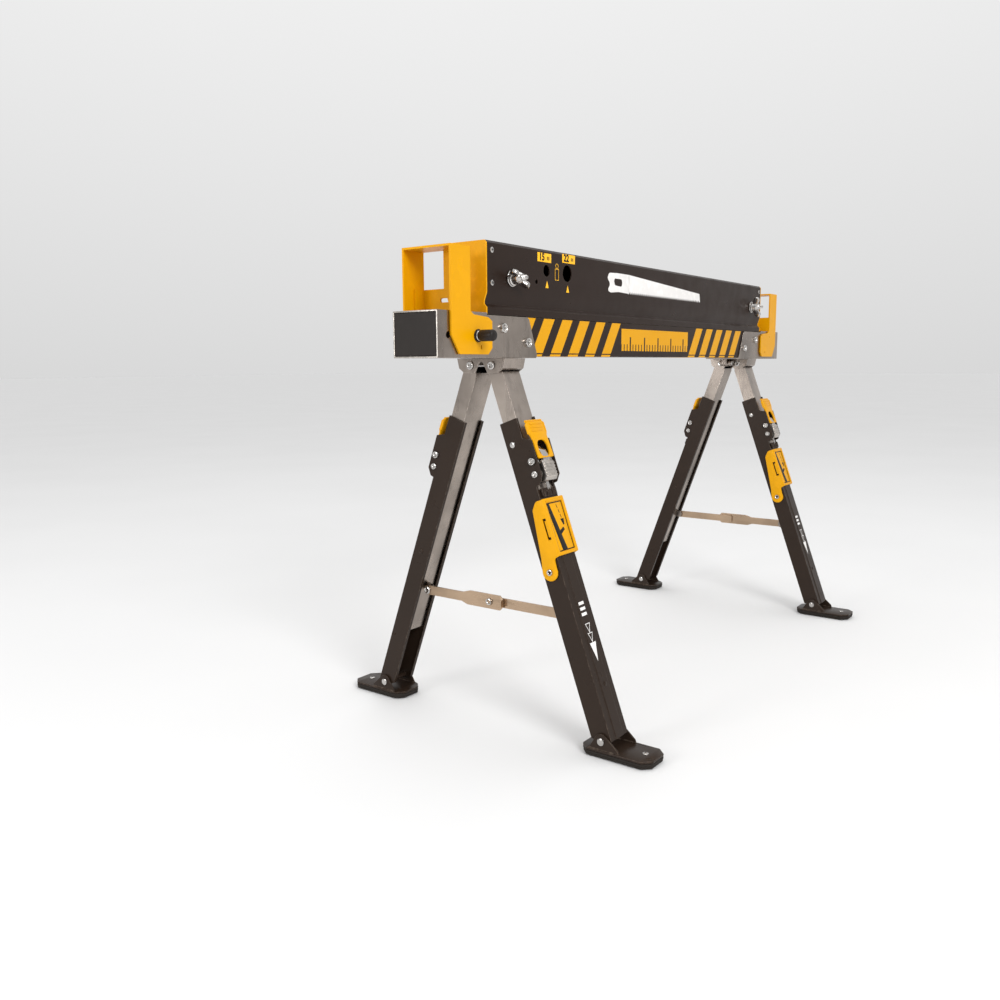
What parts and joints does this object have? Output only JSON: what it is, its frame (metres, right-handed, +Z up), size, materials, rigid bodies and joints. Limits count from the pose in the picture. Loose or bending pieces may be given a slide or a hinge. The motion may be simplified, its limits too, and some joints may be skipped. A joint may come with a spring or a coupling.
{
  "type": "folding sawhorse",
  "caption": "Low steel sawhorse with a folded-sheet beam, sliding end brackets for upright boards, telescoping latched legs, hinged feet and fold-out board rests.",
  "frame": {"origin": "centre of the footprint on the floor", "axes": "+X along the beam towards the right end, -Y the front face, +Z up"},
  "size_m": [1.08, 0.4996, 0.63],
  "materials": {
    "dark_paint": "dark brown powder coat, half gloss",
    "leg_paint": "dark brown powder coat, half gloss",
    "hazard_paint": "yellow and dark slanted warning stripes, half gloss",
    "yellow_paint": "warm yellow powder coat",
    "yellow_plastic": "moulded yellow plastic",
    "zinc_steel": "zinc-plated rolled sheet, satin",
    "bright_steel": "bright plated screws and pins",
    "dark_plastic": "fine-grained dark plastic",
    "rubber": "ribbed black rubber"
  },
  "bodies": {
    "beam": {"lower_tube": "hazard_paint", "upper_beam": "dark_paint", "left_wing_stud": "bright_steel", "left_end_cap": "yellow_plastic", "left_end_plug": "dark_plastic", "left_sleeve": "zinc_steel", "left_fold_knuckle": "dark_paint", "left_fold_pin": "bright_steel", "right_wing_stud": "bright_steel", "right_end_cap": "yellow_plastic", "right_end_plug": "dark_plastic", "right_sleeve": "zinc_steel", "right_fold_knuckle": "dark_paint", "right_fold_pin": "bright_steel"},
    "left_wing_nut": {"left_wing_nut": "bright_steel"},
    "left_bracket": {"left_end_bracket": "yellow_paint"},
    "left_plunger": {"left_plunger": "dark_plastic"},
    "left_leg_pair": {"left_leg_yoke": "zinc_steel", "left_front_leg_pin": "bright_steel", "left_back_leg_pin": "bright_steel"},
    "left_front_inner_leg": {"left_front_inner_tube": "zinc_steel"},
    "left_front_outer_leg": {"left_front_leg_channel": "leg_paint"},
    "left_front_latch": {"left_front_latch_pawl": "zinc_steel", "left_front_latch_lever": "yellow_paint"},
    "left_front_foot": {"left_front_foot_plate": "leg_paint", "left_front_foot_sole": "rubber"},
    "left_front_link": {"left_front_spreader_link": "zinc_steel"},
    "left_front_arm": {"left_front_support_arm": "yellow_paint"},
    "left_back_inner_leg": {"left_back_inner_tube": "zinc_steel"},
    "left_back_outer_leg": {"left_back_leg_channel": "leg_paint"},
    "left_back_latch": {"left_back_latch_pawl": "zinc_steel", "left_back_latch_lever": "yellow_paint"},
    "left_back_foot": {"left_back_foot_plate": "leg_paint", "left_back_foot_sole": "rubber"},
    "left_back_link": {"left_back_spreader_link": "zinc_steel"},
    "right_wing_nut": {"right_wing_nut": "bright_steel"},
    "right_bracket": {"right_end_bracket": "yellow_paint"},
    "right_plunger": {"right_plunger": "dark_plastic"},
    "right_leg_pair": {"right_leg_yoke": "zinc_steel", "right_front_leg_pin": "bright_steel", "right_back_leg_pin": "bright_steel"},
    "right_front_inner_leg": {"right_front_inner_tube": "zinc_steel"},
    "right_front_outer_leg": {"right_front_leg_channel": "leg_paint"},
    "right_front_latch": {"right_front_latch_pawl": "zinc_steel", "right_front_latch_lever": "yellow_paint"},
    "right_front_foot": {"right_front_foot_plate": "leg_paint", "right_front_foot_sole": "rubber"},
    "right_front_link": {"right_front_spreader_link": "zinc_steel"},
    "right_front_arm": {"right_front_support_arm": "yellow_paint"},
    "right_back_inner_leg": {"right_back_inner_tube": "zinc_steel"},
    "right_back_outer_leg": {"right_back_leg_channel": "leg_paint"},
    "right_back_latch": {"right_back_latch_pawl": "zinc_steel", "right_back_latch_lever": "yellow_paint"},
    "right_back_foot": {"right_back_foot_plate": "leg_paint", "right_back_foot_sole": "rubber"},
    "right_back_link": {"right_back_spreader_link": "zinc_steel"}
  },
  "joints": [
    {"name": "left_wing_nut_turn", "type": "hinge", "parent": "beam", "child": "left_wing_nut", "pos_m": [-0.394, -0.04, 0.5875], "axis": [0, -1, 0], "continuous": true},
    {"name": "left_bracket_slide", "type": "slide", "parent": "beam", "child": "left_bracket", "axis": [-1, 0, 0], "range_m": [0, 0.051]},
    {"name": "left_plunger_pull", "type": "slide", "parent": "left_bracket", "child": "left_plunger", "axis": [0, -1, 0], "range_m": [0, 0.006], "stiffness_N_per_m": 600, "springref_m": -0.006},
    {"name": "left_lengthwise_fold", "type": "hinge", "parent": "beam", "child": "left_leg_pair", "pos_m": [-0.361, 0, 0.481], "axis": [0, -1, 0], "range_deg": [0, 90]},
    {"name": "left_front_leg_fold", "type": "hinge", "parent": "left_leg_pair", "child": "left_front_inner_leg", "pos_m": [-0.395, -0.017, 0.48], "axis": [1, 0, 0], "range_deg": [0, 16.9]},
    {"name": "left_front_leg_slide", "type": "slide", "parent": "left_front_inner_leg", "child": "left_front_outer_leg", "axis": [0, 0.3404, 0.9403], "range_m": [-0.19, 0]},
    {"name": "left_front_latch_press", "type": "hinge", "parent": "left_front_outer_leg", "child": "left_front_latch", "pos_m": [-0.395, -0.07855, 0.36137], "axis": [-1, 0, 0], "range_deg": [0, 8], "stiffness_Nm_per_rad": 3, "springref_deg": -8.59},
    {"name": "left_front_foot_tilt", "type": "hinge", "parent": "left_front_outer_leg", "child": "left_front_foot", "pos_m": [-0.395, -0.18277, 0.02208], "axis": [1, 0, 0], "range_deg": [-10, 35]},
    {"name": "left_front_link_fold", "type": "hinge", "parent": "left_front_inner_leg", "child": "left_front_link", "pos_m": [-0.395, -0.10929, 0.16777], "axis": [1, 0, 0], "range_deg": [0, 66]},
    {"name": "left_front_arm_fold_out", "type": "hinge", "parent": "left_front_outer_leg", "child": "left_front_arm", "pos_m": [-0.395, -0.10727, 0.22447], "axis": [1, 0, 0], "range_deg": [0, 90]},
    {"name": "left_back_leg_fold", "type": "hinge", "parent": "left_leg_pair", "child": "left_back_inner_leg", "pos_m": [-0.395, 0.017, 0.48], "axis": [-1, 0, 0], "range_deg": [0, 16.9]},
    {"name": "left_back_leg_slide", "type": "slide", "parent": "left_back_inner_leg", "child": "left_back_outer_leg", "axis": [0, -0.3404, 0.9403], "range_m": [-0.19, 0]},
    {"name": "left_back_latch_press", "type": "hinge", "parent": "left_back_outer_leg", "child": "left_back_latch", "pos_m": [-0.395, 0.07855, 0.36137], "axis": [1, 0, 0], "range_deg": [0, 8], "stiffness_Nm_per_rad": 3, "springref_deg": -8.59},
    {"name": "left_back_foot_tilt", "type": "hinge", "parent": "left_back_outer_leg", "child": "left_back_foot", "pos_m": [-0.395, 0.18277, 0.02208], "axis": [-1, 0, 0], "range_deg": [-10, 35]},
    {"name": "left_back_link_fold", "type": "hinge", "parent": "left_back_inner_leg", "child": "left_back_link", "pos_m": [-0.395, 0.10929, 0.16777], "axis": [-1, 0, 0], "range_deg": [0, 66]},
    {"name": "right_wing_nut_turn", "type": "hinge", "parent": "beam", "child": "right_wing_nut", "pos_m": [0.394, -0.04, 0.5875], "axis": [0, -1, 0], "continuous": true},
    {"name": "right_bracket_slide", "type": "slide", "parent": "beam", "child": "right_bracket", "axis": [1, 0, 0], "range_m": [0, 0.051]},
    {"name": "right_plunger_pull", "type": "slide", "parent": "right_bracket", "child": "right_plunger", "axis": [0, 1, 0], "range_m": [0, 0.006], "stiffness_N_per_m": 600, "springref_m": -0.006},
    {"name": "right_lengthwise_fold", "type": "hinge", "parent": "beam", "child": "right_leg_pair", "pos_m": [0.361, 0, 0.481], "axis": [0, 1, 0], "range_deg": [0, 75]},
    {"name": "right_front_leg_fold", "type": "hinge", "parent": "right_leg_pair", "child": "right_front_inner_leg", "pos_m": [0.395, -0.017, 0.48], "axis": [1, 0, 0], "range_deg": [0, 16.9]},
    {"name": "right_front_leg_slide", "type": "slide", "parent": "right_front_inner_leg", "child": "right_front_outer_leg", "axis": [0, 0.3404, 0.9403], "range_m": [-0.19, 0]},
    {"name": "right_front_latch_press", "type": "hinge", "parent": "right_front_outer_leg", "child": "right_front_latch", "pos_m": [0.395, -0.07855, 0.36137], "axis": [-1, 0, 0], "range_deg": [0, 8], "stiffness_Nm_per_rad": 3, "springref_deg": -8.59},
    {"name": "right_front_foot_tilt", "type": "hinge", "parent": "right_front_outer_leg", "child": "right_front_foot", "pos_m": [0.395, -0.18277, 0.02208], "axis": [1, 0, 0], "range_deg": [-10, 35]},
    {"name": "right_front_link_fold", "type": "hinge", "parent": "right_front_inner_leg", "child": "right_front_link", "pos_m": [0.395, -0.10929, 0.16777], "axis": [1, 0, 0], "range_deg": [0, 66]},
    {"name": "right_front_arm_fold_out", "type": "hinge", "parent": "right_front_outer_leg", "child": "right_front_arm", "pos_m": [0.395, -0.10727, 0.22447], "axis": [1, 0, 0], "range_deg": [0, 90]},
    {"name": "right_back_leg_fold", "type": "hinge", "parent": "right_leg_pair", "child": "right_back_inner_leg", "pos_m": [0.395, 0.017, 0.48], "axis": [-1, 0, 0], "range_deg": [0, 16.9]},
    {"name": "right_back_leg_slide", "type": "slide", "parent": "right_back_inner_leg", "child": "right_back_outer_leg", "axis": [0, -0.3404, 0.9403], "range_m": [-0.19, 0]},
    {"name": "right_back_latch_press", "type": "hinge", "parent": "right_back_outer_leg", "child": "right_back_latch", "pos_m": [0.395, 0.07855, 0.36137], "axis": [1, 0, 0], "range_deg": [0, 8], "stiffness_Nm_per_rad": 3, "springref_deg": -8.59},
    {"name": "right_back_foot_tilt", "type": "hinge", "parent": "right_back_outer_leg", "child": "right_back_foot", "pos_m": [0.395, 0.18277, 0.02208], "axis": [-1, 0, 0], "range_deg": [-10, 35]},
    {"name": "right_back_link_fold", "type": "hinge", "parent": "right_back_inner_leg", "child": "right_back_link", "pos_m": [0.395, 0.10929, 0.16777], "axis": [-1, 0, 0], "range_deg": [0, 66]}
  ],
  "couplings": [
    {"joint": "left_back_leg_fold", "follows": "left_front_leg_fold", "ratio": 1},
    {"joint": "left_front_link_fold", "follows": "left_front_leg_fold", "ratio": 3.876},
    {"joint": "left_back_link_fold", "follows": "left_front_leg_fold", "ratio": 3.876},
    {"joint": "right_back_leg_fold", "follows": "right_front_leg_fold", "ratio": 1},
    {"joint": "right_front_link_fold", "follows": "right_front_leg_fold", "ratio": 3.876},
    {"joint": "right_back_link_fold", "follows": "right_front_leg_fold", "ratio": 3.876}
  ]
}
